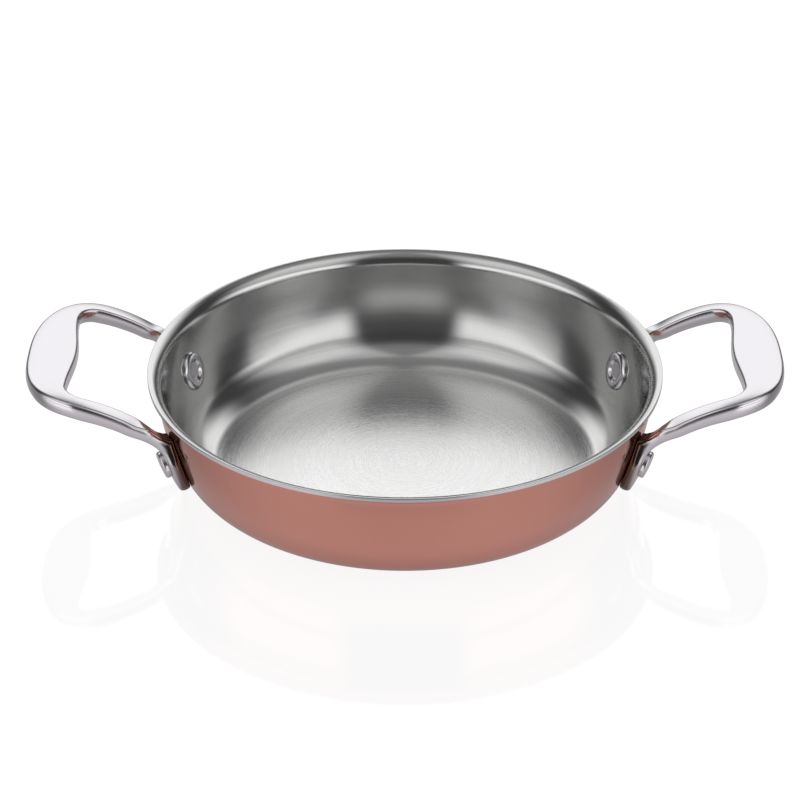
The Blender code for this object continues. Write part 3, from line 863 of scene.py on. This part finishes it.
def satin_copper():
    """Copper skin: soft turned grain, a little cloudy in tone."""
    copper = Finish("satin_copper")
    fine = copper.noise(copper.turned_grain(copper.z, around_scale=3.0, along_scale=1800.0))
    cloud = copper.noise(copper.place, scale=28.0, detail=3.0)
    copper.set(
        Base_Color=copper.blend(cloud, *COPPERS),
        Roughness=copper.sum(0.09, copper.product(fine, 0.05)),
        Metallic=1.0,
        Normal=copper.bump(fine, COPPER_GRAIN_HEIGHT),
    )
    return copper.material


def ground_aluminium():
    """Edge of the core at the ground rim: fine lines round the pan."""
    aluminium = Finish("ground_aluminium")
    rings = aluminium.turned_grain(aluminium.z, around_scale=2.0, along_scale=9000.0)
    fine = aluminium.noise(rings)
    aluminium.set(
        Base_Color=ALUMINIUM_GREY,
        Roughness=aluminium.sum(0.28, aluminium.product(fine, 0.1)),
        Metallic=1.0,
        Normal=aluminium.bump(fine, ALUMINIUM_GRAIN_HEIGHT),
    )
    return aluminium.material


def painted_crevice_shade(steel, polished_grey):
    """Colour that turns to painted shade near the wall: a dark brown that stands in for the shadow
    and the reflected copper in the crevice behind the feet. The wall is taken as the cone through
    the rivets, z times its slope."""
    slope = math.tan(FLARE)
    cone = steel.sum(steel.product(steel.z, slope), RIVET_RADIUS - RIVET_HEIGHT * slope)
    gap = steel.product(steel.math("SUBTRACT", steel.radius, cone), math.cos(FLARE))
    # Share of the handle's own grey, which gives way to the painted shade near the wall
    polished = steel.fit(gap, (PAINTED_SHADE_FULL_SHARE * PAINTED_SHADE_REACH, PAINTED_SHADE_REACH), (0.0, 1.0))
    return steel.blend(polished, PAINTED_CREVICE_SHADE, polished_grey)


def polish(steel, colour, roughness, wave_height):
    """Polished steel: gentle waves left by hand polishing, and a fine haze."""
    wave = steel.noise(steel.place, scale=75.0, detail=1.0)
    haze = steel.noise(steel.place, scale=900.0, detail=3.0, roughness=0.6)
    steel.set(
        Base_Color=colour,
        Roughness=steel.sum(roughness, steel.product(haze, 0.07)),
        Metallic=1.0,
        Normal=steel.bump(haze, HAZE_HEIGHT, steel.bump(wave, wave_height)),
    )
    return steel.material


def polished_cast_steel():
    """Handles: polished steel with painted shade near the wall behind the feet."""
    steel = Finish("polished_cast_steel")
    # Painted shade: the handle's grey darkens to brown near the wall behind the feet
    colour = painted_crevice_shade(steel, HANDLE_GREY)
    return polish(steel, colour, roughness=0.13, wave_height=HANDLE_WAVE_HEIGHT)


def rivet_steel():
    """Rivets: polished steel, with flatter waves than the handles."""
    steel = Finish("rivet_steel")
    return polish(steel, RIVET_GREY, roughness=0.11, wave_height=RIVET_WAVE_HEIGHT)


def dress(piece, material, node):
    """Give a piece its finish, and hide the CAD node that it stands for."""
    piece.data.materials.append(material)
    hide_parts(node)


def build_sheet():
    """The three plies of the clad sheet, from the inside out."""
    liner = ply("liner", COPPER_THICKNESS + CORE_THICKNESS, LINER_THICKNESS, RIM_BEVEL, PLY_GROOVE)
    dress(liner, brushed_steel(), "steel_liner")
    core = ply("core", COPPER_THICKNESS, CORE_THICKNESS, PLY_GROOVE, PLY_GROOVE)
    dress(core, ground_aluminium(), "aluminium_core")
    skin = ply("copper_skin", 0.0, COPPER_THICKNESS, PLY_GROOVE, COPPER_EDGE)
    dress(skin, satin_copper(), "copper_shell")


def build_handles():
    """Two cast handles, and a rivet in each of their four feet, round from the right back."""
    cast = polished_cast_steel()
    for side, side_x in (("right", 1.0), ("left", -1.0)):
        dress(handle("loop_handle_" + side, side_x), cast, "handle_" + side)
    solid = rivet_steel()
    quarters = (
        ("right_back", 1.0, 1.0), ("left_back", -1.0, 1.0),
        ("left_front", -1.0, -1.0), ("right_front", 1.0, -1.0))
    for place, side_x, side_y in quarters:
        dress(rivet("solid_rivet_" + place, side_x, side_y), solid, "rivet_" + place)


def table_finish():
    """Finish of the table. The camera sees it white, under the pan's soft shadow and faint
    mirror image. Metal sees its levels: a near one and a far one that change with how far
    ahead a place lies, blended by its distance and shaded under the pan."""
    table = Finish("pale_table")
    path = table.add("ShaderNodeLightPath")
    seen = path.outputs["Is Camera Ray"]
    mirrored = path.outputs["Is Glossy Ray"]
    ahead = table.math("DIVIDE", table.product(table.y, -1.0), table.radius)
    near = table.fit(ahead, NEAR_AHEAD, NEAR_LEVELS)
    far = table.window(ahead, FAR_AHEAD, FAR_LEVELS)
    farness = table.fit(table.radius, FAR_EDGE, (0.0, 1.0))
    level = table.sum(
        table.product(near, table.math("SUBTRACT", 1.0, farness)), table.product(far, farness))
    shaded = table.product(table.fit(table.radius, SHADE_EDGE, SHADE_LEVELS), level)
    table.set(
        Base_Color=table.blend(seen, (0.30, 0.30, 0.30), (0.10, 0.10, 0.10)),
        Roughness=0.06,
        IOR=1.45,
        Emission_Color=table.blend(seen, (1.0, 0.95, 0.99), (1.0, 1.0, 1.0)),
        Emission_Strength=table.sum(
            table.product(seen, TABLE_SEEN_LEVEL), table.product(mirrored, shaded)),
    )
    return table.material


def studio_table():
    """Pale glossy table, a square of four corners just below the pan."""
    reach = TABLE_HALF_WIDTH
    corners = [(-reach, -reach), (reach, -reach), (reach, reach), (-reach, reach)]
    mesh = bpy.data.meshes.new("table")
    mesh.from_pydata([(x, y, -TABLE_DROP) for x, y in corners], [], [(0, 1, 2, 3)])
    mesh.materials.append(table_finish())
    table = bpy.data.objects.new("table", mesh)
    bpy.context.scene.collection.objects.link(table)


def studio_world():
    """Soft studio round the pan. In front, on each side of the camera's dark place, stands a
    lit panel with a dimmer lamp above it; the sides are dark, and behind the pan a white
    sweep rises below a faint ceiling. The camera itself sees white."""
    world = bpy.data.worlds.new("studio")
    bpy.context.scene.world = world
    world.use_nodes = True
    studio = Nodes(world.node_tree)
    x, y, z = studio.split(studio.add("ShaderNodeTexCoord").outputs["Generated"])
    round_from_front = studio.math("ABSOLUTE", studio.math("ARCTAN2", x, studio.product(y, -1.0)))
    azimuth = studio.math("DEGREES", round_from_front)
    elevation = studio.math("DEGREES", studio.math("ARCSINE", z))
    panel = studio.product(
        studio.window(azimuth, PANEL_SIDES),
        studio.window(elevation, PANEL_HEIGHTS, PANEL_LEVELS))
    upper = studio.product(
        studio.window(azimuth, UPPER_SIDES),
        studio.window(elevation, UPPER_HEIGHTS, UPPER_LEVELS))
    sweep = studio.product(
        studio.fit(azimuth, SWEEP_SIDE, (0.0, 1.0)),
        studio.window(elevation, SWEEP_HEIGHTS, SWEEP_LEVELS))
    ceiling = studio.fit(elevation, CEILING_HEIGHT, (0.0, CEILING_LEVEL))
    level = studio.sum(ROOM_LEVEL, ceiling, panel, upper, sweep)
    seen = studio.add("ShaderNodeLightPath").outputs["Is Camera Ray"]
    background = studio.tree.nodes["Background"]
    studio.join((1.0, 1.0, 1.0), background.inputs["Color"])
    studio.join(studio.math("MAXIMUM", level, seen), background.inputs["Strength"])


def camera():
    """Camera at the photograph's place and angle."""
    optics = bpy.data.cameras.new("camera")
    optics.sensor_width = SENSOR_WIDTH
    optics.lens = FOCAL_PIXELS / PICTURE_PIXELS * SENSOR_WIDTH
    optics.shift_x = (PICTURE_PIXELS / 2.0 - CENTRE_PIXEL_X) / PICTURE_PIXELS
    optics.shift_y = (CENTRE_PIXEL_Y - PICTURE_PIXELS / 2.0) / PICTURE_PIXELS
    view = bpy.data.objects.new("camera", optics)
    view.location = (0.0, -CAMERA_BACK * RIM_RADIUS, CAMERA_UP * RIM_RADIUS)
    view.rotation_euler = (math.pi / 2.0 - CAMERA_PITCH, 0.0, 0.0)
    bpy.context.scene.collection.objects.link(view)
    bpy.context.scene.camera = view
    bpy.context.scene.view_settings.view_transform = "Standard"


build_sheet()
build_handles()
studio_table()
studio_world()
camera()
